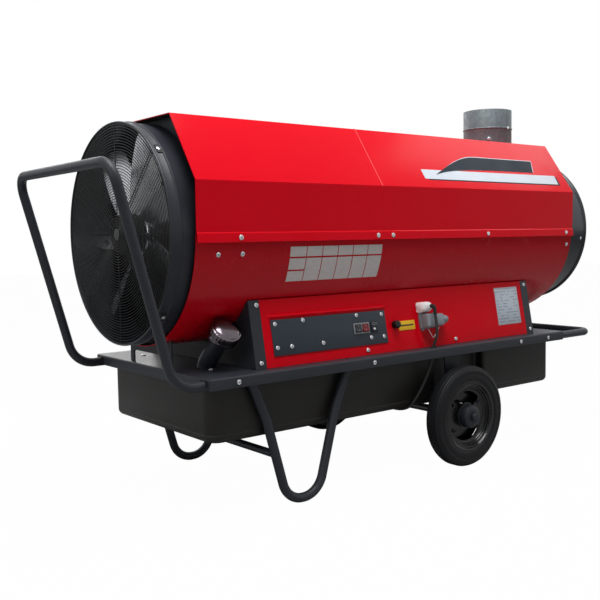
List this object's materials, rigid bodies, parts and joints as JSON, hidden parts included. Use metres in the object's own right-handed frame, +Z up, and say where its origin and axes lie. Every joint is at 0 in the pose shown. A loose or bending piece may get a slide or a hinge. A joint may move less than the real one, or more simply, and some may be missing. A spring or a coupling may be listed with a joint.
{
  "type": "indirect fired heater",
  "caption": "Mobile indirect oil-fired warm-air heater: round casing with a folded hood, side control panel, flue stub and fuel tank on a wheeled tube frame.",
  "frame": {"origin": "on the floor under the middle of the heater, centre of the bottom of its box", "axes": "+X towards the warm-air outlet, -Y towards the control panel, +Z up"},
  "size_m": [1.6442, 0.8865, 1.0021],
  "materials": {
    "red_paint": "gloss red paint",
    "black_steel": "satin black powder coat",
    "rim_black": "satin black",
    "plain_steel": "bright zinc",
    "tyre_black": "solid rubber",
    "tank_plastic": "satin moulded",
    "black_plastic": "satin",
    "cap_chrome": "polished",
    "fan_aluminium": "plain",
    "galvanised": "galvanised sheet",
    "exchanger_steel": "mill",
    "burner_paint": "satin red",
    "fuel_line_copper": "drawn copper tube",
    "bezel_grey": "satin",
    "rocker_red": "gloss",
    "button_silver": "metallic",
    "marker_yellow": "film",
    "label_silver": "plain film",
    "bar_light": "film",
    "bar_dark": "film",
    "connector_grey": "cast, painted",
    "plug_white": "gloss",
    "cord_black": "satin"
  },
  "bodies": {
    "heater": {"platform": "black_steel", "push_handle": "black_steel", "tow_bar": "black_steel", "support_leg_near": "black_steel", "support_leg_far": "black_steel", "leg_cross_brace": "black_steel", "axle": "plain_steel", "axle_bracket_near": "black_steel", "axle_bracket_far": "black_steel", "axle_nut_near": "black_steel", "axle_nut_far": "black_steel", "fuel_tank": "tank_plastic", "filler_neck": "black_steel", "lower_drum": "red_paint", "hood_back": "red_paint", "hood_front": "red_paint", "inlet_ring": "black_steel", "inlet_end_plate": "black_steel", "fan_guard": "black_steel", "fan_motor": "black_plastic", "drum_foot": "black_steel", "outlet_ring": "black_steel", "outlet_end_plate": "black_steel", "flue_stub": "galvanised", "heat_exchanger": "exchanger_steel", "exhaust_collar": "exchanger_steel", "combustion_chamber": "exchanger_steel", "burner": "burner_paint", "fuel_line": "fuel_line_copper", "plinth_end_back": "black_steel", "plinth_end_front": "black_steel", "side_panel_near": "red_paint", "side_panel_far": "red_paint", "control_plate": "black_steel", "rocker_bezel": "bezel_grey", "reset_bezel": "black_plastic", "marker_plate": "marker_yellow", "rating_plate": "label_silver", "label_field": "label_silver", "trim_bar_light": "bar_light", "trim_bar_dark": "bar_dark", "connector_base": "connector_grey", "cord_drop": "cord_black", "cord_coil": "cord_black", "mains_plug": "cord_black"},
    "wheel_near": {"wheel_rim_near": "rim_black", "wheel_tyre_near": "tyre_black"},
    "wheel_far": {"wheel_rim_far": "rim_black", "wheel_tyre_far": "tyre_black"},
    "fan": {"fan_impeller": "fan_aluminium"},
    "heat_rocker": {"heat_rocker": "black_plastic"},
    "fan_rocker": {"fan_rocker": "rocker_red"},
    "reset_button": {"reset_button": "button_silver"},
    "limit_cap": {"limit_cap": "black_plastic"},
    "cap_core": {"filler_cap_core": "black_plastic"},
    "cap_shell": {"filler_cap_shell": "cap_chrome"},
    "connector_plug": {"connector_plug": "connector_grey"},
    "connector_bail": {"connector_bail": "plain_steel"},
    "power_plug": {"power_plug": "plug_white", "power_plug_boot": "cord_black"}
  },
  "joints": [
    {"name": "wheel_near_spin", "type": "hinge", "parent": "heater", "child": "wheel_near", "pos_m": [0.168, -0.289, 0.134], "axis": [0, 1, 0], "continuous": true},
    {"name": "wheel_far_spin", "type": "hinge", "parent": "heater", "child": "wheel_far", "pos_m": [0.168, 0.289, 0.134], "axis": [0, 1, 0], "continuous": true},
    {"name": "fan_spin", "type": "hinge", "parent": "heater", "child": "fan", "pos_m": [-0.6194, 0, 0.6265], "axis": [1, 0, 0], "continuous": true},
    {"name": "heat_rocker_tilt", "type": "hinge", "parent": "heater", "child": "heat_rocker", "pos_m": [-0.1612, -0.23448, 0.38882], "axis": [1, 0, 0], "range_deg": [0, 18]},
    {"name": "fan_rocker_tilt", "type": "hinge", "parent": "heater", "child": "fan_rocker", "pos_m": [-0.1373, -0.23448, 0.38882], "axis": [1, 0, 0], "range_deg": [0, 18]},
    {"name": "reset_press", "type": "slide", "parent": "heater", "child": "reset_button", "axis": [0, 0.9827, -0.185], "range_m": [0, 0.0025], "stiffness_N_per_m": 200},
    {"name": "limit_cap_off", "type": "slide", "parent": "heater", "child": "limit_cap", "axis": [0, -0.9827, 0.185], "range_m": [0, 0.03]},
    {"name": "filler_cap_off", "type": "slide", "parent": "heater", "child": "cap_core", "axis": [0, -0.7193, 0.6947], "range_m": [0, 0.08]},
    {"name": "filler_cap_turn", "type": "hinge", "parent": "cap_core", "child": "cap_shell", "pos_m": [-0.5297, -0.20113, 0.40541], "axis": [0, -0.7193, 0.6947], "range_deg": [-90, 0]},
    {"name": "connector_pull", "type": "slide", "parent": "heater", "child": "connector_plug", "axis": [1, 0, 0], "range_m": [0, 0.04]},
    {"name": "bail_swing", "type": "hinge", "parent": "heater", "child": "connector_bail", "pos_m": [0.092, -0.24838, 0.37012], "axis": [1, 0, 0], "range_deg": [-8, 25]},
    {"name": "power_plug_pull", "type": "slide", "parent": "heater", "child": "power_plug", "axis": [0, -0.9827, 0.185], "range_m": [0, 0.04]}
  ]
}
